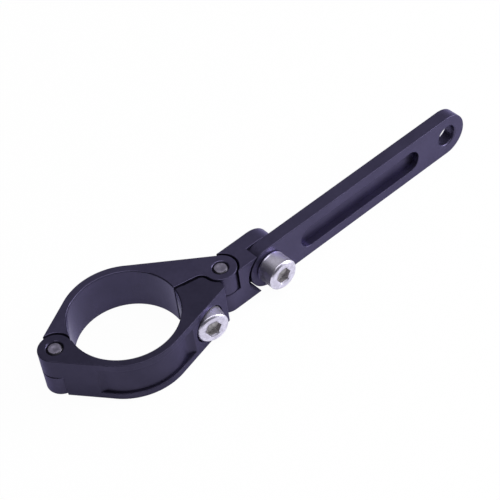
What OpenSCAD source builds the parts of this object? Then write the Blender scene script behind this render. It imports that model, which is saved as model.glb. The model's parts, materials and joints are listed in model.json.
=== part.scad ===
// Fork-clamp headlight bracket, left side: a hinged two-piece clamp ring, a swivelling
// knuckle block and a long pocketed arm that carries the lamp.
// Millimetres. The origin is the centre of the fork bore, midway between the bottom and the
// top face. +Z runs up the bore, +X points to the knuckle pin, and +Y to the half of the
// ring that carries it.

/* [Clamp ring] */
// Bore of the ring: the outside diameter of the fork tube
bore_d = 43; // [41:0.5:49]
// Wall of the ring round the bore
wall = 3.3; // [3:0.1:5]
// Height of every machined piece, bottom face to top face
height = 19; // [18:0.5:24]
// Gap between the two halves of the ring before the screw is tightened
split_gap = 1; // [0.8:0.1:1.4]
// Distance of the middle of the split from the line of the pins
split_offset = 0.7; // [0:0.1:1.2]
// Radius of the split's bend where it turns round the knuckle
split_bend_r = 3; // [2:0.25:4]
// Chamfer on both ends of the bore
bore_chamfer = 0.4; // [0.2:0.1:0.8]

/* [Relief grooves] */
// Depth of the groove milled round the outside of each half
groove_depth = 1; // [0.5:0.1:1.5]
// Height of the rim left above and below the groove
groove_rim = 3; // [2:0.25:5]
// Radius of the cutter that milled the groove
cutter_r = 5; // [4:0.5:6]
// Run-out of the groove past the round part, at the hinge end, in degrees
groove_runout_hinge = 4.5; // [0:0.5:8]
// Run-out of the groove past the round part, at the knuckle end of the cap, in degrees
groove_runout_cap = 11; // [0:0.5:12]
// Run-out of the groove past the round part, at the knuckle end of the carrier, in degrees
groove_runout_carrier = 16; // [0:0.5:18]

/* [Hinge and knuckle] */
// Diameter of the hinge pin and the knuckle pin
pin_d = 6; // [5:0.25:7]
// Chamfer on the ends of the pins
pin_chamfer = 0.3; // [0.1:0.1:0.6]
// How far the pins' ends lie below the faces
pin_recess = 0.1; // [0:0.1:0.5]
// Radius of the dimple in the ends of the pins
pin_dimple_r = 1.2; // [0.6:0.1:1.8]
// Depth of the dimple in the ends of the pins
pin_dimple_depth = 0.3; // [0.1:0.1:0.6]
// Chamfer on the mouths of the pin holes
pin_hole_chamfer = 0.7; // [0.2:0.1:1]
// Radial play of a pin in the ear that turns on it
pin_play = 0.05; // [0.02:0.01:0.1]
// Metal between the bore and the hinge pin
hinge_land = 4; // [3:0.25:6]
// Metal round the hinge pin
hinge_ear_wall = 3.5; // [3:0.25:5]
// Metal round the knuckle pin in the ring's lug
lug_wall = 3.4; // [3:0.1:4.5]
// Gap between the upper and the lower ears, at the hinge and at the knuckle
lap_gap = 0.4; // [0.3:0.1:1]
// Gap round each ear, to the piece that it turns in
ear_gap = 0.8; // [0.6:0.1:1.2]

/* [Clamp screw] */
// Thread diameter of the clamp screw and the pivot screw
screw_d = 8; // [6:0.5:8]
// Depth of the screws' thread, which a plain shank of the mean diameter stands for
thread_depth = 0.8; // [0.6:0.05:1]
// Radial clearance of the clamp screw in the cap
screw_play = 0.3; // [0.2:0.05:0.5]
// Diameter of the screws' heads
head_d = 13; // [10:0.5:13]
// Height of the screws' heads
head_h = 8; // [6:0.5:9]
// Width across the flats of the hexagon socket
socket_af = 6; // [5:0.5:7]
// Depth of the hexagon socket
socket_depth = 4; // [3:0.25:5]
// Chamfer round the top of the heads
head_chamfer = 0.8; // [0.3:0.1:1.2]
// Length of the clamp screw under its head
clamp_screw_l = 20; // [18:0.5:20.5]
// Metal between the bore and the clamp screw's hole
screw_land = 1.5; // [1:0.25:3]
// Metal between the clamp screw's hole and the gap round the knuckle
knuckle_land = 2; // [1:0.25:4]
// Metal of the cap under the clamp screw's head
cap_grip = 10; // [9:0.25:11]
// Radial clearance of the head in its counterbore
counterbore_play = 0.5; // [0.3:0.1:1]
// Metal between the counterbore and the cap's free end
cap_end_wall = 3.2; // [2:0.2:4]
// How much further out than the lug the cap's flat wall is aimed
cap_flare = 0.9; // [0:0.1:2]
// Depth of the tapped hole past the tip of the clamp screw
tap_spare = 1.2; // [1.1:0.1:2]

/* [Knuckle block] */
// Width of the block, which is also the diameter of its lower ear
block_w = 12.8; // [12:0.2:15]
// Thickness of the ear that the arm is screwed to
ear_t = 6.4; // [5:0.1:7]
// Metal between the knuckle's recess and the arm's recess, where they come closest
block_web = 0.6; // [0.5:0.1:4]
// Angle at which the block and the arm are turned about the knuckle, in degrees
swivel_angle = 12; // [-20:1:20]

/* [Arm] */
// Distance from the pivot screw to the lamp hole
arm_reach = 97.5; // [70:0.5:140]
// Thickness of the arm
arm_t = 5.8; // [5:0.1:7]
// Gap between the arm's round end and the block
arm_end_gap = 1.6; // [0.6:0.1:2]
// Gap beside the arm, to the block's ear and to the screw's head
arm_side_gap = 0.1; // [0.05:0.05:0.2]
// Radial clearance of the pivot screw in the arm
pivot_play = 0.2; // [0.1:0.05:0.4]
// Length of the pivot screw under its head
pivot_screw_l = 12; // [11:0.25:12.5]
// Diameter of the lamp hole
lamp_hole_d = 8.8; // [8.2:0.2:10.4]
// Chamfer on the mouths of the lamp hole
lamp_hole_chamfer = 0.8; // [0.2:0.1:1]
// Depth of the pocket in the arm's front face
pocket_depth = 3; // [1:0.25:4]
// Height of the rim left above and below the pocket
pocket_rim = 4.5; // [2:0.25:6]
// Distance from the pocket's ends to the middle of the nearest hole
pocket_end = 16.5; // [12:0.5:25]

/* [Hidden] */
$fn = 96;
eps = 0.01;
far = 200;
// How far the flat webs lie inside the true tangents, so that they cross the round parts
flat_dip = 0.02;

top_z = height / 2;
bottom_z = -top_z;
bore_r = bore_d / 2;
ring_r = bore_r + wall;
pin_r = pin_d / 2;
hinge_x = -(bore_r + hinge_land + pin_r);
hinge_r = pin_r + hinge_ear_wall;
lug_r = pin_r + lug_wall;

thread_mean_d = screw_d - thread_depth;
screw_hole_r = screw_d / 2 + screw_play;
screw_x = bore_r + screw_land + screw_hole_r;
counterbore_r = head_d / 2 + counterbore_play;
knuckle_x = screw_x + screw_hole_r + knuckle_land + split_gap + lug_r;
cap_end_x = screw_x + counterbore_r + cap_end_wall;
nose_r = lug_r + cap_flare;

carrier_face_y = split_offset + split_gap / 2;
cap_face_y = split_offset - split_gap / 2;
seat_y = cap_face_y - cap_grip;
bend_y = cap_face_y - split_bend_r;
bend_reach = lug_r + split_gap + split_bend_r;
bend_x = knuckle_x - sqrt(bend_reach * bend_reach - bend_y * bend_y);
bend_angle = atan2(bend_y, bend_x - knuckle_x);

block_r = block_w / 2;
recess_r = lug_r + ear_gap;
arm_r = height / 2;
notch_r = arm_r + arm_end_gap;
pivot_x = recess_r + block_web + notch_r;
slot_y = block_r - ear_t;
arm_back_y = slot_y - arm_side_gap;
arm_front_y = arm_back_y - arm_t;
pivot_seat_y = arm_front_y - arm_side_gap;

lower_top_z = -lap_gap / 2;
upper_bottom_z = lap_gap / 2;

// Angle from the line of centres to the point where a common outer tangent touches
function tangent_angle(r1, r2, distance) = acos((r1 - r2) / distance);

hinge_tangent = tangent_angle(ring_r, hinge_r, -hinge_x);
lug_tangent = tangent_angle(ring_r, lug_r, knuckle_x);
cap_tangent = tangent_angle(ring_r, nose_r, knuckle_x);

// Flat web between the ring and a round end on the X axis: side is 1 above the axis, -1 below
module tangent_web(end_x, end_r, side) {
    way = sign(end_x);
    angle = tangent_angle(ring_r, end_r, abs(end_x));
    touch = [way * cos(angle), side * sin(angle)];
    polygon([[0, 0], (ring_r - flat_dip) * touch,
             [end_x, 0] + (end_r - flat_dip) * touch, [end_x, 0]]);
}

// Everything on one side of a line parallel to X: side is 1 above it, -1 below it
module half_plane(y, side) {
    translate([-far / 2, side > 0 ? y : y - far]) square([far, far]);
}

module disc_at(x, y, r) {
    translate([x, y]) circle(r);
}

// Flat plate of a plan's outline between two heights
module plate(z0, z1) {
    translate([0, 0, z0]) linear_extrude(z1 - z0) children();
}

// Outline of one half before it is split, seen from above
module half_outline(side, end_r) {
    circle(ring_r);
    tangent_web(hinge_x, hinge_r, side);
    tangent_web(knuckle_x, end_r, side);
}

// Plan of the carrier half without its ears: all that lies behind the split
module carrier_plan() {
    intersection() {
        half_outline(1, lug_r);
        half_plane(carrier_face_y, 1);
    }
}

// The ring's lug, with the inner bend that leads from the split into it
module lug_plan() {
    disc_at(knuckle_x, 0, lug_r);
    difference() {
        polygon([[bend_x, carrier_face_y], [bend_x, carrier_face_y + lug_r / 2],
                 [knuckle_x, carrier_face_y + lug_r / 2], [knuckle_x, 0],
                 [knuckle_x + lug_r * cos(bend_angle), lug_r * sin(bend_angle)]]);
        disc_at(bend_x, bend_y, split_bend_r + split_gap);
    }
}

// Plan of the cap without its hinge ear: it ends in a hollow that follows the lug
module cap_plan() {
    difference() {
        intersection() {
            half_outline(-1, nose_r);
            half_plane(cap_face_y, -1);
        }
        translate([cap_end_x, -far / 2]) square([far, far]);
        disc_at(knuckle_x, 0, lug_r + split_gap);
        difference() {
            polygon([[bend_x, bend_y], [bend_x, cap_face_y + eps],
                     [knuckle_x, cap_face_y + eps], [knuckle_x, 0],
                     [bend_x, bend_y] - split_bend_r * [cos(bend_angle), sin(bend_angle)]]);
            disc_at(bend_x, bend_y, split_bend_r);
        }
    }
}

// Ear round the hinge pin, joined to its half by the half's own web
module hinge_ear_plan(side, face_y) {
    disc_at(hinge_x, 0, hinge_r);
    intersection() {
        half_outline(side, lug_r);
        half_plane(face_y, side);
        translate([-far, -far / 2]) square([far, far]);
    }
}

// Hole along Z with both of its mouths chamfered
module chamfered_hole(r, z0, z1, chamfer) {
    translate([0, 0, z0 - eps]) cylinder(r = r, h = z1 - z0 + 2 * eps);
    translate([0, 0, z0 - eps]) cylinder(r1 = r + chamfer + eps, r2 = r, h = chamfer + eps);
    translate([0, 0, z1 - chamfer]) cylinder(r1 = r, r2 = r + chamfer + eps, h = chamfer + eps);
}

// Path of the cutter round one half, from one angle to the other
module groove_plan(from, to) {
    path_r = ring_r - groove_depth + cutter_r;
    intersection() {
        difference() {
            circle(path_r + cutter_r);
            circle(path_r - cutter_r);
        }
        polygon([[0, 0], far * [cos(from), sin(from)],
                 far * [cos((from + to) / 2), sin((from + to) / 2)], far * [cos(to), sin(to)]]);
    }
    for (angle = [from, to]) disc_at(path_r * cos(angle), path_r * sin(angle), cutter_r);
}

module groove(from, to) {
    plate(bottom_z + groove_rim, top_z - groove_rim) groove_plan(from, to);
}

module fork_bore() {
    chamfered_hole(bore_r, bottom_z, top_z, bore_chamfer);
}

module clamp_carrier_half() {
    color("#2e2a38") difference() {
        union() {
            plate(bottom_z, top_z) carrier_plan();
            plate(bottom_z, lower_top_z) hinge_ear_plan(1, carrier_face_y);
            plate(upper_bottom_z, top_z) lug_plan();
        }
        plate(lower_top_z, top_z + eps) disc_at(hinge_x, 0, hinge_r + ear_gap);
        plate(bottom_z - eps, upper_bottom_z) disc_at(knuckle_x, 0, block_r + ear_gap);
        fork_bore();
        groove(lug_tangent - groove_runout_carrier, 180 - hinge_tangent + groove_runout_hinge);
        translate([hinge_x, 0, 0])
            chamfered_hole(pin_r, bottom_z, lower_top_z, pin_hole_chamfer);
        translate([knuckle_x, 0, 0])
            chamfered_hole(pin_r, upper_bottom_z, top_z, pin_hole_chamfer);
        translate([screw_x, 0, 0]) rotate([-90, 0, 0])
            cylinder(d = screw_d, h = seat_y + clamp_screw_l + tap_spare);
    }
}

module clamp_cap_half() {
    color("#2e2a38") difference() {
        union() {
            plate(bottom_z, top_z) cap_plan();
            plate(upper_bottom_z, top_z) hinge_ear_plan(-1, cap_face_y);
        }
        plate(bottom_z - eps, upper_bottom_z) disc_at(hinge_x, 0, hinge_r + ear_gap);
        fork_bore();
        groove(180 + hinge_tangent - groove_runout_hinge, 360 - cap_tangent + groove_runout_cap);
        translate([hinge_x, 0, 0])
            chamfered_hole(pin_r + pin_play, upper_bottom_z, top_z, pin_hole_chamfer);
        translate([screw_x, seat_y - eps, 0]) rotate([-90, 0, 0])
            cylinder(r = screw_hole_r, h = cap_grip + 2 * eps);
        translate([screw_x, seat_y, 0]) rotate([90, 0, 0])
            cylinder(r = counterbore_r, h = ring_r);
    }
}

// Plain pin with chamfered ends and a shallow dimple in each
module plain_pin() {
    z0 = bottom_z + pin_recess;
    z1 = top_z - pin_recess;
    difference() {
        union() {
            translate([0, 0, z0]) cylinder(r1 = pin_r - pin_chamfer, r2 = pin_r, h = pin_chamfer);
            translate([0, 0, z0 + pin_chamfer]) cylinder(r = pin_r, h = z1 - z0 - 2 * pin_chamfer);
            translate([0, 0, z1 - pin_chamfer])
                cylinder(r1 = pin_r, r2 = pin_r - pin_chamfer, h = pin_chamfer);
        }
        translate([0, 0, z0 - eps])
            cylinder(r1 = pin_dimple_r, r2 = eps, h = pin_dimple_depth + eps);
        translate([0, 0, z1 - pin_dimple_depth])
            cylinder(r1 = eps, r2 = pin_dimple_r, h = pin_dimple_depth + eps);
    }
}

module hinge_pin() {
    color("silver") translate([hinge_x, 0, 0]) plain_pin();
}

module knuckle_pin() {
    color("silver") translate([knuckle_x, 0, 0]) plain_pin();
}

// Socket-head screw with the underside of its head at the origin and its tip along +Y
module socket_screw(length) {
    socket_r = socket_af / 2 / cos(30);
    rotate([-90, 0, 0]) difference() {
        union() {
            translate([0, 0, head_chamfer - head_h]) cylinder(d = head_d, h = head_h - head_chamfer);
            translate([0, 0, -head_h])
                cylinder(d1 = head_d - 2 * head_chamfer, d2 = head_d, h = head_chamfer);
            cylinder(d = thread_mean_d, h = length - head_chamfer);
            translate([0, 0, length - head_chamfer])
                cylinder(d1 = thread_mean_d, d2 = thread_mean_d - 2 * head_chamfer, h = head_chamfer);
        }
        translate([0, 0, -head_h - eps]) cylinder(r = socket_r, h = socket_depth + eps, $fn = 6);
    }
}

module clamp_screw() {
    color("silver") translate([screw_x, seat_y, 0]) socket_screw(clamp_screw_l);
}

// Puts a piece that is drawn from the knuckle pin where the swivel holds it
module on_knuckle() {
    translate([knuckle_x, 0, 0]) rotate([0, 0, swivel_angle]) children();
}

// Puts a flat outline, drawn in X and Z, upright between two places along Y
module upright(y_front, y_back) {
    translate([0, y_back, 0]) rotate([90, 0, 0]) linear_extrude(y_back - y_front) children();
}

// Outline of a bar of the full height, seen from the front
module bar_outline(x0, x1) {
    translate([x0, bottom_z]) square([x1 - x0, height]);
}

module knuckle_block() {
    color("#2e2a38") on_knuckle() difference() {
        union() {
            plate(bottom_z, top_z) circle(block_r);
            upright(-block_r, slot_y) difference() {
                bar_outline(0, pivot_x);
                disc_at(pivot_x, 0, notch_r);
            }
            upright(slot_y, block_r) {
                bar_outline(0, pivot_x);
                disc_at(pivot_x, 0, arm_r);
            }
        }
        plate(lower_top_z, top_z + eps) circle(recess_r);
        chamfered_hole(pin_r + pin_play, bottom_z, lower_top_z, pin_hole_chamfer);
        translate([pivot_x, slot_y - eps, 0]) rotate([-90, 0, 0])
            cylinder(d = screw_d, h = ear_t + 2 * eps);
    }
}

module arm() {
    lamp_x = pivot_x + arm_reach;
    pocket_r = arm_r - pocket_rim;
    pocket_x0 = pivot_x + pocket_end + pocket_r;
    pocket_x1 = lamp_x - pocket_end - pocket_r;
    color("#2e2a38") on_knuckle() difference() {
        upright(arm_front_y, arm_back_y) {
            bar_outline(pivot_x, lamp_x);
            for (x = [pivot_x, lamp_x]) disc_at(x, 0, arm_r);
        }
        upright(arm_front_y - eps, arm_front_y + pocket_depth) {
            translate([pocket_x0, -pocket_r]) square([pocket_x1 - pocket_x0, 2 * pocket_r]);
            for (x = [pocket_x0, pocket_x1]) disc_at(x, 0, pocket_r);
        }
        translate([pivot_x, arm_front_y - eps, 0]) rotate([-90, 0, 0])
            cylinder(r = screw_d / 2 + pivot_play, h = arm_t + 2 * eps);
        translate([lamp_x, arm_front_y, 0]) rotate([-90, 0, 0])
            chamfered_hole(lamp_hole_d / 2, 0, arm_t, lamp_hole_chamfer);
    }
}

module pivot_screw() {
    color("silver") on_knuckle() translate([pivot_x, pivot_seat_y, 0]) socket_screw(pivot_screw_l);
}

clamp_carrier_half();
clamp_cap_half();
hinge_pin();
clamp_screw();
knuckle_pin();
knuckle_block();
arm();
pivot_screw();
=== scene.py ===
import json
import math

import bmesh
import bpy
from mathutils import Matrix, Vector


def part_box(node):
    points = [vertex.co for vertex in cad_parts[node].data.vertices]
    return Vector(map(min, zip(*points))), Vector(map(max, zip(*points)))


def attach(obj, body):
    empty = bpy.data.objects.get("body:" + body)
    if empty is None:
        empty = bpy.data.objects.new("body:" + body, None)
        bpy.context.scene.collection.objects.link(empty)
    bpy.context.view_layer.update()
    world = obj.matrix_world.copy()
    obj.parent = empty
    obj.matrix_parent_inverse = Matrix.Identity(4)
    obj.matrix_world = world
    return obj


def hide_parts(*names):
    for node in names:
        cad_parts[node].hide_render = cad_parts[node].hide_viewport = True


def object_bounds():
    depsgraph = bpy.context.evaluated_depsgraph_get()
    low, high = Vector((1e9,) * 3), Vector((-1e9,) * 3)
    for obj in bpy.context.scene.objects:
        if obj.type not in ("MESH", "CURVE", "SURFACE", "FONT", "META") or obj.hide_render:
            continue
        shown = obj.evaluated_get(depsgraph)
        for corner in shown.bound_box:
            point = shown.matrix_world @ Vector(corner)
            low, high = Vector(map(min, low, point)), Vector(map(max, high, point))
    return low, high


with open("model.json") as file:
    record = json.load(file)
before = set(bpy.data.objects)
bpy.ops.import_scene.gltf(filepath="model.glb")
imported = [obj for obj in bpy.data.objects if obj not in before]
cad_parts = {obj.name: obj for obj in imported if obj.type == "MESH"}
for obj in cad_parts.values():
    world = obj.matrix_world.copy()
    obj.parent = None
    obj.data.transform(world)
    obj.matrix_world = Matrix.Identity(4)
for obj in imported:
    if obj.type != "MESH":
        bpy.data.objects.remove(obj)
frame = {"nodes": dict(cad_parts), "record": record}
cad_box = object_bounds()


# Camera
# It stands where the photographer stood, above the front left of the ring, and looks down at 46
# degrees. It is turned to the middle of the bracket and zoomed in until the bracket fills the frame.
CAMERA_PLACE = Vector((-0.1165, -0.3907, 0.4585))
CAMERA_AIM = Vector((0.0583, 0.0096, 0.0))
CAMERA_ROLL = math.radians(-8.37)
CAMERA_LENS = 117.9
SENSOR_WIDTH = 36.0
NEAREST_SEEN = 0.01

camera_data = bpy.data.cameras.new("camera")
camera_data.lens = CAMERA_LENS
camera_data.sensor_width = SENSOR_WIDTH
camera_data.clip_start = NEAREST_SEEN
camera = bpy.data.objects.new("camera", camera_data)
bpy.context.scene.collection.objects.link(camera)
looking = (CAMERA_AIM - CAMERA_PLACE).to_track_quat("-Z", "Y").to_matrix().to_4x4()
rolled = Matrix.Rotation(CAMERA_ROLL, 4, "Z")
camera.matrix_world = Matrix.Translation(CAMERA_PLACE) @ looking @ rolled
bpy.context.scene.camera = camera


# Clamp ring halves
# Two halves milled from bar aluminium, bored as one and then split. They are blasted and anodised
# black with a violet cast. Their outer corners are broken with a small round, and the bore that
# grips the fork is left as smooth as the boring bar cut it.
MERGE_DISTANCE = 1e-6
FLAT_ANGLE = math.radians(0.3)
CORNER_ANGLE = math.radians(50)
SHARP_ANGLE = math.radians(34)
EDGE_BREAK = 0.00028
EDGE_STEPS = 3


def machined_copy(node, name):
    """Copies a CAD piece and breaks its sharp outer corners with a small round."""
    bm = bmesh.new()
    bm.from_mesh(frame["nodes"][node].data)
    bmesh.ops.remove_doubles(bm, verts=bm.verts, dist=MERGE_DISTANCE)
    bmesh.ops.dissolve_limit(bm, angle_limit=FLAT_ANGLE, verts=bm.verts, edges=bm.edges)
    corners = [e for e in bm.edges if e.is_convex and e.calc_face_angle(0.0) > CORNER_ANGLE]
    bmesh.ops.bevel(bm, geom=corners, offset=EDGE_BREAK, offset_type="OFFSET", affect="EDGES",
                    segments=EDGE_STEPS, profile=0.5, material=-1, clamp_overlap=False,
                    loop_slide=True)
    return finished_object(bm, name)


def finished_object(bm, name):
    """Makes an object of a bmesh, with flat faces kept flat and round ones shaded smoothly."""
    mesh = bpy.data.meshes.new(name)
    bm.to_mesh(mesh)
    bm.free()
    mesh.shade_smooth()
    mesh.set_sharp_from_angle(angle=SHARP_ANGLE)
    piece = bpy.data.objects.new(name, mesh)
    bpy.context.scene.collection.objects.link(piece)
    normals = piece.modifiers.new("flat_faces", "WEIGHTED_NORMAL")
    normals.keep_sharp = True
    return piece


def new_material(name):
    material = bpy.data.materials.new(name)
    material.use_nodes = True
    tree = material.node_tree
    return material, tree.nodes, tree.links, tree.nodes["Principled BSDF"]


def noise(nodes, links, place, scale, detail):
    """A noise pattern that is read at a place's output, with grains about 1/scale of a metre wide."""
    pattern = nodes.new("ShaderNodeTexNoise")
    pattern.inputs["Scale"].default_value = scale
    pattern.inputs["Detail"].default_value = detail
    links.new(place, pattern.inputs["Vector"])
    return pattern.outputs["Fac"]


PATTERN_MIDDLE = 0.3, 0.7


def spread(nodes, links, value, low, high):
    """Maps a pattern's middle range to the range from low to high."""
    mapped = nodes.new("ShaderNodeMapRange")
    mapped.inputs["From Min"].default_value = PATTERN_MIDDLE[0]
    mapped.inputs["From Max"].default_value = PATTERN_MIDDLE[1]
    mapped.inputs["To Min"].default_value = low
    mapped.inputs["To Max"].default_value = high
    links.new(value, mapped.inputs["Value"])
    return mapped.outputs["Result"]


def tones(nodes, links, pattern, band, colours):
    """Blends two colours where a pattern goes through a band of its values."""
    ramp = nodes.new("ShaderNodeValToRGB")
    for element, position, colour in zip(ramp.color_ramp.elements, band, colours):
        element.position = position
        element.color = (*colour, 1)
    links.new(pattern, ramp.inputs["Fac"])
    return ramp.outputs["Color"]


# A wave texture of scale 1 repeats after pi / 10 metres.
WAVE_UNIT = math.pi / 10


def tool_marks(nodes, links, place, centre, turn, pitch, shape, wander, detail):
    """The marks of a turning tool: rings round a centre's own Z axis, or bands along it."""
    centred = nodes.new("ShaderNodeMapping")
    centred.vector_type = "TEXTURE"
    centred.inputs["Location"].default_value = centre
    centred.inputs["Rotation"].default_value = turn
    links.new(place, centred.inputs["Vector"])
    marks = nodes.new("ShaderNodeTexWave")
    marks.wave_type = shape
    marks.rings_direction = "Z"
    marks.bands_direction = "Z"
    marks.inputs["Scale"].default_value = WAVE_UNIT / pitch
    marks.inputs["Distortion"].default_value = wander
    marks.inputs["Detail"].default_value = detail
    links.new(centred.outputs["Vector"], marks.inputs["Vector"])
    return marks.outputs["Fac"]


def relief(nodes, links, height, strength, depth):
    """Small bumps that follow a pattern."""
    bumps = nodes.new("ShaderNodeBump")
    bumps.inputs["Strength"].default_value = strength
    bumps.inputs["Distance"].default_value = depth
    links.new(height, bumps.inputs["Height"])
    return bumps


METAL_SHARE = 0.8
VIOLET_CAST = (0.70, 0.66, 1.0)
DYE_CLOUDS = 90
DYE_DETAIL = 3
DYE_BAND = 0.35, 0.65
SHEEN_SPECKLE = 900
SHEEN_DETAIL = 2
BLAST_GRAIN = 5000
BLAST_DETAIL = 2
BLAST_STRENGTH = 0.12
CUT_STRENGTH = 0.10
CUT_WANDER = 1.5
CUT_DETAIL = 1
MARK_DEPTH = 0.00002


def black_anodising(name, dye, roughness, cut_place, cut_turn, cut_pitch, cut_shape="RINGS"):
    """Satin black dye over blasted aluminium, through which the cutter's marks still show a little."""
    material, nodes, links, shader = new_material(name)
    place = nodes.new("ShaderNodeTexCoord").outputs["Object"]
    cloud = noise(nodes, links, place, DYE_CLOUDS, DYE_DETAIL)
    links.new(tones(nodes, links, cloud, DYE_BAND, dye), shader.inputs["Base Color"])
    shader.inputs["Metallic"].default_value = METAL_SHARE
    shader.inputs["Specular Tint"].default_value = (*VIOLET_CAST, 1)
    speckle = noise(nodes, links, place, SHEEN_SPECKLE, SHEEN_DETAIL)
    links.new(spread(nodes, links, speckle, *roughness), shader.inputs["Roughness"])
    cuts = tool_marks(nodes, links, place, cut_place, cut_turn, cut_pitch, cut_shape,
                      CUT_WANDER, CUT_DETAIL)
    milled = relief(nodes, links, cuts, CUT_STRENGTH, MARK_DEPTH)
    grain = noise(nodes, links, place, BLAST_GRAIN, BLAST_DETAIL)
    blasted = relief(nodes, links, grain, BLAST_STRENGTH, MARK_DEPTH)
    links.new(milled.outputs["Normal"], blasted.inputs["Normal"])
    links.new(blasted.outputs["Normal"], shader.inputs["Normal"])
    return material


BLACK_DYE = (0.061, 0.054, 0.102), (0.071, 0.063, 0.118)
DEEP_DYE = (0.039, 0.035, 0.065), (0.047, 0.042, 0.077)
BORE_DYE = (0.044, 0.038, 0.088), (0.054, 0.046, 0.106)
BLASTED = 0.30, 0.40
BORED = 0.10, 0.16
BORE_SHEEN = 1.75
BORE_METAL_SHARE = 0.55
BORE_CUT_PITCH = 0.00025
BORE_MARGIN = 1.01
UPRIGHT_SLOPE = 0.5
RING_CUT_PLACE = (-0.02, -0.15, 0)
RING_CUT_PITCH = 0.0006
UNTURNED = (0, 0, 0)
METRES_PER_MM = 0.001


def bore_finish(name):
    """The bore's finish, smoother than the blasted faces and with finer marks, along its axis."""
    material = black_anodising(name, BORE_DYE, BORED, (0, 0, 0), UNTURNED, BORE_CUT_PITCH, "BANDS")
    shader = material.node_tree.nodes["Principled BSDF"]
    shader.inputs["Metallic"].default_value = BORE_METAL_SHARE
    shader.inputs["IOR"].default_value = BORE_SHEEN
    return material


mounts = {mount["name"]: mount for mount in frame["record"]["mounts"]}
bore_reach = BORE_MARGIN * mounts["fork_bore"]["dims"]["r_mm"] * METRES_PER_MM
for node, body, dye in (("clamp_carrier_half", "clamp", BLACK_DYE),
                        ("clamp_cap_half", "cap", DEEP_DYE)):
    half = machined_copy(node, node + "_finished")
    half.data.materials.append(black_anodising(
        node + "_anodising", dye, BLASTED, RING_CUT_PLACE, UNTURNED, RING_CUT_PITCH))
    half.data.materials.append(bore_finish(node + "_bore"))
    for face in half.data.polygons:
        if face.center.xy.length < bore_reach and abs(face.normal.z) < UPRIGHT_SLOPE:
            face.material_index = 1
    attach(half, body)
    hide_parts(node)


# Hinge pin and knuckle pin
# Two equal dowels of ground steel, pressed into the ears of the rear half. Their ends are faced on
# a lathe, with the dimple that the centre drill left. The chamfer round each end is painted near
# black: painted shade.
PIN_STEPS = 96
PIN_CHAMFER = 0.0006
PIN_DIMPLE_RADIUS = 0.0012
PIN_DIMPLE_DEPTH = 0.0003
PIN_EDGE_ROUND = 0.00006
PIN_EDGE_STEPS = 2
TURNED_CORNER = math.radians(30)


def turned_dowel(node, name):
    """Spins a dowel's profile, from the bottom dimple to the top one, where the CAD pin stands."""
    low, high = (Vector(corner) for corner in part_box(node))
    middle = (low + high) / 2
    radius = (high.x - low.x) / 2
    bottom = low.z - middle.z
    top = -bottom
    bm = bmesh.new()
    profile = [bm.verts.new((reach, 0, height)) for reach, height in (
        (0, bottom + PIN_DIMPLE_DEPTH), (PIN_DIMPLE_RADIUS, bottom),
        (radius - PIN_CHAMFER, bottom), (radius, bottom + PIN_CHAMFER),
        (radius, top - PIN_CHAMFER), (radius - PIN_CHAMFER, top),
        (PIN_DIMPLE_RADIUS, top), (0, top - PIN_DIMPLE_DEPTH))]
    edges = [bm.edges.new(pair) for pair in zip(profile, profile[1:])]
    bmesh.ops.spin(bm, geom=profile + edges, cent=(0, 0, 0), axis=(0, 0, 1), angle=math.tau,
                   steps=PIN_STEPS, use_merge=True)
    bmesh.ops.remove_doubles(bm, verts=bm.verts, dist=MERGE_DISTANCE)
    bmesh.ops.recalc_face_normals(bm, faces=bm.faces)
    corners = [e for e in bm.edges if e.calc_face_angle(0.0) > TURNED_CORNER]
    bmesh.ops.bevel(bm, geom=corners, offset=PIN_EDGE_ROUND, offset_type="OFFSET", affect="EDGES",
                    segments=PIN_EDGE_STEPS, profile=0.5, material=-1, clamp_overlap=True)
    bmesh.ops.translate(bm, vec=middle, verts=bm.verts)
    return finished_object(bm, name), middle


STAIN_BLOTCHES = 700
STAIN_DETAIL = 3
STAIN_BAND = 0.40, 0.60
STAIN_DULLNESS = 0.08
FEED_WANDER = 0.4
FEED_DETAIL = 2
FEED_STRENGTH = 0.35
FEED_DEPTH = 0.00001


def turned_steel(name, stain_and_steel, gloss, centre, turn, feed):
    """Bare steel that a lathe faced: fine rings round its axis, and a stain where hands held it."""
    material, nodes, links, shader = new_material(name)
    place = nodes.new("ShaderNodeTexCoord").outputs["Object"]
    blotch = noise(nodes, links, place, STAIN_BLOTCHES, STAIN_DETAIL)
    colour = tones(nodes, links, blotch, STAIN_BAND, stain_and_steel)
    links.new(colour, shader.inputs["Base Color"])
    shader.inputs["Metallic"].default_value = 1.0
    dullness = spread(nodes, links, blotch, gloss + STAIN_DULLNESS, gloss)
    links.new(dullness, shader.inputs["Roughness"])
    rings = tool_marks(nodes, links, place, centre, turn, feed, "RINGS", FEED_WANDER, FEED_DETAIL)
    faced = relief(nodes, links, rings, FEED_STRENGTH, FEED_DEPTH)
    links.new(faced.outputs["Normal"], shader.inputs["Normal"])
    return material


PIN_STEEL = (0.205, 0.19, 0.25), (0.285, 0.262, 0.345)
# Near-black steel for the pins' chamfers: painted shade, for the shadow round each pin's end.
SHADED_RIM_STEEL = (0.050, 0.047, 0.060), (0.085, 0.080, 0.100)
PIN_GLOSS = 0.42
PIN_FEED = 0.00022
SHADED_CHAMFER_SLOPES = 0.2, 0.9
for node in ("hinge_pin", "knuckle_pin"):
    dowel, middle = turned_dowel(node, node + "_turned")
    for part, steel in (("_steel", PIN_STEEL), ("_painted_shade_rim", SHADED_RIM_STEEL)):
        dowel.data.materials.append(
            turned_steel(node + part, steel, PIN_GLOSS, middle, UNTURNED, PIN_FEED))
    # The sloped chamfer faces take the near-black steel: painted shade.
    for face in dowel.data.polygons:
        if SHADED_CHAMFER_SLOPES[0] < abs(face.normal.z) < SHADED_CHAMFER_SLOPES[1]:
            face.material_index = 1
    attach(dowel, "clamp")
    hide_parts(node)


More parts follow.
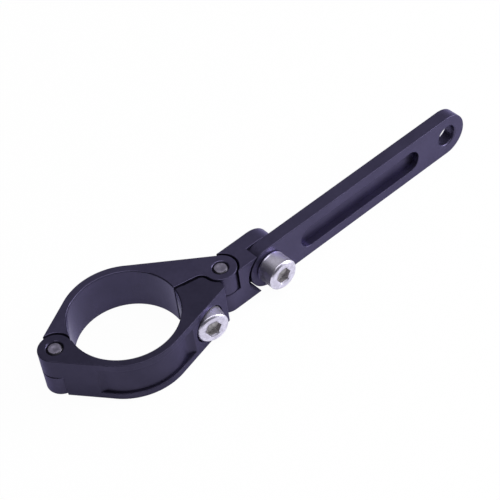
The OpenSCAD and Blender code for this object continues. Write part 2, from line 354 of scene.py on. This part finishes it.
# Clamp screw and pivot screw
# Two M8 socket-head screws of bright stainless steel. The heads are upset from wire, knurled,
# faced and punched with a hexagon, and the threads are rolled. The thread is a little slim, so that
# the clamp screw can tip in its tapped hole as the ring closes.
HEAD_STEPS = 120
HEAD_RADIUS = 0.0065
HEAD_HEIGHT = 0.008
HEAD_CHAMFER = 0.0008
HEAD_UNDERCUT = 0.0003
KNURL_DEPTH = 0.0002
KNURL_START = 0.0008
KNURL_END = 0.0072
KNURL_RUN = 0.0002
SOCKET_FLAT = 0.003
SOCKET_DEPTH = 0.0026
SOCKET_POINT = 0.0008
SOCKET_MOUTH = 0.0038
SOCKET_LIP = 0.0004
SOCKET_DRILL = 0.25
FLOOR_ROUND = 0.00015
FACE_ROUND = 0.00008
ROUND_DROP = 0.00005
CHAMFER_ROUND = 0.0001
SHANK_FILLET = 0.0005
SHANK_FILLET_STEP = 0.00015
THREAD_ROOT = 0.0032
THREAD_CREST = 0.00375
THREAD_BURIED = 0.0002
THREAD_PITCH = 0.00125
THREAD_STEPS = 48
THREAD_HALF_ROOT = 0.00054
THREAD_HALF_CREST = 0.00009
THREAD_START = 0.0018
TIP_CHAMFER = 0.0007


def round_reach(radius):
    return lambda angle: radius


def hexagon_reach(flat):
    """How far a hexagon with corners on the first axis reaches at an angle."""
    sixth = math.tau / 6
    return lambda angle: flat / math.cos(angle % sixth - sixth / 2)


def knurl_reach(radius, depth):
    """Straight knurling: every other point of the ring lies in a groove."""
    step = math.tau / HEAD_STEPS
    return lambda angle: radius - depth * (round(angle / step) % 2)


def grow(bm, rim, reach, height):
    """Extrudes an open rim to a height, and pulls it out to the reach of each angle."""
    grown = bmesh.ops.extrude_edge_only(bm, edges=rim)["geom"]
    fresh = {item for item in grown if isinstance(item, bmesh.types.BMVert)}
    for vert in fresh:
        angle = math.atan2(vert.co.y, vert.co.x)
        out = reach(angle)
        vert.co = (out * math.cos(angle), out * math.sin(angle), height)
    return [edge for edge in bm.edges if edge.verts[0] in fresh and edge.verts[1] in fresh]


def socket_screw(length):
    """A screw along Z, with the top of its head at zero and its tip at length."""
    bm = bmesh.new()
    start = bmesh.ops.create_circle(bm, cap_ends=True, cap_tris=True, segments=HEAD_STEPS,
                                    radius=SOCKET_FLAT * SOCKET_DRILL)["verts"]
    for vert in start:
        on_rim = vert.co.length > MERGE_DISTANCE
        vert.co.z = SOCKET_DEPTH + SOCKET_POINT * (1.0 - SOCKET_DRILL * on_rim)
    rim = [edge for edge in bm.edges if edge.is_boundary]
    socket = (
        (hexagon_reach(SOCKET_FLAT - FLOOR_ROUND), SOCKET_DEPTH + ROUND_DROP),
        (hexagon_reach(SOCKET_FLAT), SOCKET_DEPTH - CHAMFER_ROUND),
        (hexagon_reach(SOCKET_FLAT), SOCKET_LIP),
    )
    for reach, height in socket:
        rim = grow(bm, rim, reach, height)
    socket_faces = set(bm.faces)
    face_edge = HEAD_RADIUS - HEAD_CHAMFER
    outside = (
        (round_reach(SOCKET_MOUTH), ROUND_DROP),
        (round_reach(SOCKET_MOUTH + FACE_ROUND), 0.0),
        (round_reach(face_edge - CHAMFER_ROUND), 0.0),
        (round_reach(face_edge + ROUND_DROP), ROUND_DROP),
        (round_reach(HEAD_RADIUS - FACE_ROUND), HEAD_CHAMFER - FACE_ROUND),
        (round_reach(HEAD_RADIUS), HEAD_CHAMFER + FACE_ROUND),
        (round_reach(HEAD_RADIUS), KNURL_START + KNURL_RUN),
        (knurl_reach(HEAD_RADIUS, KNURL_DEPTH), KNURL_START + 2 * KNURL_RUN),
        (knurl_reach(HEAD_RADIUS, KNURL_DEPTH), KNURL_END - KNURL_RUN),
        (round_reach(HEAD_RADIUS), KNURL_END),
        (round_reach(HEAD_RADIUS), HEAD_HEIGHT - HEAD_UNDERCUT),
        (round_reach(HEAD_RADIUS - HEAD_UNDERCUT), HEAD_HEIGHT),
        (round_reach(THREAD_ROOT + SHANK_FILLET), HEAD_HEIGHT),
        (round_reach(THREAD_ROOT + SHANK_FILLET_STEP), HEAD_HEIGHT + SHANK_FILLET_STEP),
        (round_reach(THREAD_ROOT), HEAD_HEIGHT + SHANK_FILLET),
        (round_reach(THREAD_ROOT), length - TIP_CHAMFER),
        (round_reach(THREAD_ROOT - TIP_CHAMFER), length),
    )
    for reach, height in outside:
        rim = grow(bm, rim, reach, height)
    bmesh.ops.contextual_create(bm, geom=rim)
    add_thread(bm, HEAD_HEIGHT + THREAD_START, length - TIP_CHAMFER)
    bmesh.ops.recalc_face_normals(bm, faces=bm.faces)
    for face in bm.faces:
        middle = face.calc_center_median()
        if face in socket_faces:
            face.material_index = 1
        # The knurled band takes the third, slightly darker steel: painted shade.
        elif middle.xy.length > face_edge and KNURL_START < middle.z < KNURL_END:
            face.material_index = 2
    return bm


def add_thread(bm, start, end):
    """Winds the thread's ridge round the shank, right-handed, and closes both of its ends."""
    turns = (end - start) / THREAD_PITCH
    steps = round(turns * THREAD_STEPS)
    foot = THREAD_ROOT - THREAD_BURIED
    section = [bm.verts.new((reach, 0, start + height)) for reach, height in (
        (foot, -THREAD_HALF_ROOT), (THREAD_CREST, -THREAD_HALF_CREST),
        (THREAD_CREST, THREAD_HALF_CREST), (foot, THREAD_HALF_ROOT))]
    first = bm.faces.new(section)
    wound = bmesh.ops.spin(bm, geom=section + list(first.edges), cent=(0, 0, 0), axis=(0, 0, 1),
                           dvec=(0, 0, THREAD_PITCH / THREAD_STEPS), steps=steps,
                           angle=math.tau * steps / THREAD_STEPS)["geom_last"]
    last = [item for item in wound if isinstance(item, bmesh.types.BMEdge)]
    bmesh.ops.contextual_create(bm, geom=last)


def screw_stand(node, tip_way):
    """The middle of the top of a CAD screw's head, and the screw's whole length."""
    points = [vert.co for vert in frame["nodes"][node].data.vertices]
    upward = Vector((0, 0, 1))
    stand = Vector()
    for way in (tip_way.cross(upward), upward):
        reach = [point.dot(way) for point in points]
        stand += way * (min(reach) + max(reach)) / 2
    along = [point.dot(tip_way) for point in points]
    return stand + tip_way * min(along), max(along) - min(along)


SCREW_STEEL = (0.64, 0.61, 0.75), (0.77, 0.74, 0.90)
SCREW_GLOSS = 0.28
SOCKET_STEEL = (0.45, 0.43, 0.45), (0.60, 0.58, 0.60)
SOCKET_GLOSS = 0.50
# The knurled band's steel is a little darker and less violet than the head's: painted shade, for the
# shadow in the knurl's grooves. Its higher roughness is the knurl's own.
SHADED_KNURL_STEEL = (0.64, 0.61, 0.71), (0.76, 0.73, 0.84)
KNURL_GLOSS = 0.38
SCREW_FEED = 0.0003
QUARTER_TURN = math.pi / 2
joints = {joint["name"]: joint for joint in frame["record"]["behaviour"]["joints"]}
tilt_axis = Vector(joints["arm_tilt"]["axis"])
for node, body, tip_way in (("clamp_screw", "cap", Vector((0, 1, 0))),
                            ("pivot_screw", "block", -tilt_axis)):
    stand, length = screw_stand(node, tip_way)
    turn = (-QUARTER_TURN, 0, math.atan2(-tip_way.x, tip_way.y))
    lying = Matrix.Rotation(turn[2], 4, "Z") @ Matrix.Rotation(turn[0], 4, "X")
    bm = socket_screw(length)
    bmesh.ops.transform(bm, matrix=Matrix.Translation(stand) @ lying, verts=bm.verts)
    screw = finished_object(bm, node + "_turned")
    for part, steel, gloss in (("_steel", SCREW_STEEL, SCREW_GLOSS),
                               ("_socket", SOCKET_STEEL, SOCKET_GLOSS),
                               ("_knurl_painted_shade", SHADED_KNURL_STEEL, KNURL_GLOSS)):
        screw.data.materials.append(
            turned_steel(node + part, steel, gloss, stand, turn, SCREW_FEED))
    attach(screw, body)
    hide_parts(node)


# Knuckle block
# It is milled from the same bar as the ring: a half-height ear that turns on the knuckle pin, and
# beside it a full ear, tapped for the pivot screw, that the arm is screwed against.
BLOCK_CUT_PLACE = (0.06, -0.08, 0)
BLOCK_CUT_PITCH = 0.0005
block = machined_copy("knuckle_block", "knuckle_block_finished")
block.data.materials.append(black_anodising(
    "block_anodising", BLACK_DYE, BLASTED, BLOCK_CUT_PLACE, UNTURNED, BLOCK_CUT_PITCH))
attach(block, "block")
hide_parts("knuckle_block")


# Arm
# A flat bar of aluminium with round ends, milled on both faces, with a shallow pocket along its front
# and a chamfered hole for the lamp's bolt. It is anodised with the ring.
ARM_CUT_PITCH = 0.0008
ARM_CUTTER_REACH = 0.012
arm = machined_copy("arm", "arm_finished")
arm_turn = (QUARTER_TURN, 0, math.atan2(tilt_axis.x, -tilt_axis.y))
arm_cut_place = sum(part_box("arm"), Vector()) / 2 + Vector((0, 0, -ARM_CUTTER_REACH))
arm.data.materials.append(black_anodising(
    "arm_anodising", BLACK_DYE, BLASTED, arm_cut_place, arm_turn, ARM_CUT_PITCH))
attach(arm, "arm")
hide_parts("arm")


# Studio
# A plain white table in a dim room with one bright side, under two soft lamps.
TABLE_SIDE = 6.0
TABLE_WHITE = 0.9
TABLE_ROUGHNESS = 0.9
SEEN_WHITE = 0.97
MIRRORED_WHITE = 0.25
floor_mesh = bpy.data.meshes.new("floor")
bm = bmesh.new()
bmesh.ops.create_grid(bm, x_segments=1, y_segments=1, size=TABLE_SIDE / 2,
                      matrix=Matrix.Translation((0, 0, cad_box[0][2])))
bm.to_mesh(floor_mesh)
bm.free()
floor = bpy.data.objects.new("floor", floor_mesh)
bpy.context.scene.collection.objects.link(floor)
table, nodes, links, shader = new_material("white_table")
shader.inputs["Base Color"].default_value = (TABLE_WHITE, TABLE_WHITE, TABLE_WHITE, 1)
shader.inputs["Roughness"].default_value = TABLE_ROUGHNESS
shader.inputs["Specular IOR Level"].default_value = 0.0
rays = nodes.new("ShaderNodeLightPath")
share = None
for ray, white_share in (("Is Camera Ray", SEEN_WHITE), ("Is Glossy Ray", MIRRORED_WHITE),
                         ("Is Transmission Ray", SEEN_WHITE)):
    added = nodes.new("ShaderNodeMath")
    added.operation = "MULTIPLY_ADD"
    added.inputs[1].default_value = white_share
    added.inputs[2].default_value = 0
    links.new(rays.outputs[ray], added.inputs[0])
    if share:
        links.new(share, added.inputs[2])
    share = added.outputs["Value"]
white = nodes.new("ShaderNodeEmission")
white.inputs["Color"].default_value = (1, 1, 1, 1)
mixed = nodes.new("ShaderNodeMixShader")
links.new(share, mixed.inputs["Fac"])
links.new(shader.outputs["BSDF"], mixed.inputs[1])
links.new(white.outputs["Emission"], mixed.inputs[2])
links.new(mixed.outputs["Shader"], nodes["Material Output"].inputs["Surface"])
floor_mesh.materials.append(table)

BRIGHT_SIDE = (0.9, 0.44, 0)
BRIGHT_REACH = -0.4, 0.9
WALL_TOP = 0.3
DIM_WALL = (0.15, 0.15, 0.16), (0.04, 0.04, 0.045)
BRIGHT_WALL = (0.9, 0.9, 0.92), (0.40, 0.40, 0.43)
world = bpy.data.worlds.new("studio")
bpy.context.scene.world = world
world.use_nodes = True
room_nodes = world.node_tree.nodes
room_links = world.node_tree.links
outward = room_nodes.new("ShaderNodeTexCoord").outputs["Generated"]
outward_parts = room_nodes.new("ShaderNodeSeparateXYZ")
room_links.new(outward, outward_parts.inputs["Vector"])
upward_part = outward_parts.outputs["Z"]
facing_bright = room_nodes.new("ShaderNodeVectorMath")
facing_bright.operation = "DOT_PRODUCT"
facing_bright.inputs[1].default_value = BRIGHT_SIDE
room_links.new(outward, facing_bright.inputs[0])
bright_share = room_nodes.new("ShaderNodeMapRange")
bright_share.inputs["From Min"].default_value = BRIGHT_REACH[0]
bright_share.inputs["From Max"].default_value = BRIGHT_REACH[1]
room_links.new(facing_bright.outputs["Value"], bright_share.inputs["Value"])
walls = room_nodes.new("ShaderNodeMix")
walls.data_type = "RGBA"
room_links.new(bright_share.outputs["Result"], walls.inputs["Factor"])
for side, greys in (("A", DIM_WALL), ("B", BRIGHT_WALL)):
    wall = tones(room_nodes, room_links, upward_part, (0.0, WALL_TOP), greys)
    room_links.new(wall, walls.inputs[side])
room_links.new(walls.outputs["Result"], room_nodes["Background"].inputs["Color"])


def softbox(name, place, side, power):
    """A square lamp that faces the bracket."""
    data = bpy.data.lights.new(name, "AREA")
    data.shape = "SQUARE"
    data.size = side
    data.energy = power
    lamp = bpy.data.objects.new(name, data)
    lamp.location = place
    lamp.rotation_euler = (CAMERA_AIM - Vector(place)).to_track_quat("-Z", "Y").to_euler()
    bpy.context.scene.collection.objects.link(lamp)


softbox("key_lamp", place=(0.1, -0.2, 1.3), side=1.2, power=12)
softbox("side_lamp", place=(1.2, -0.3, 0.5), side=0.8, power=14)

bpy.context.scene.view_settings.view_transform = "Standard"
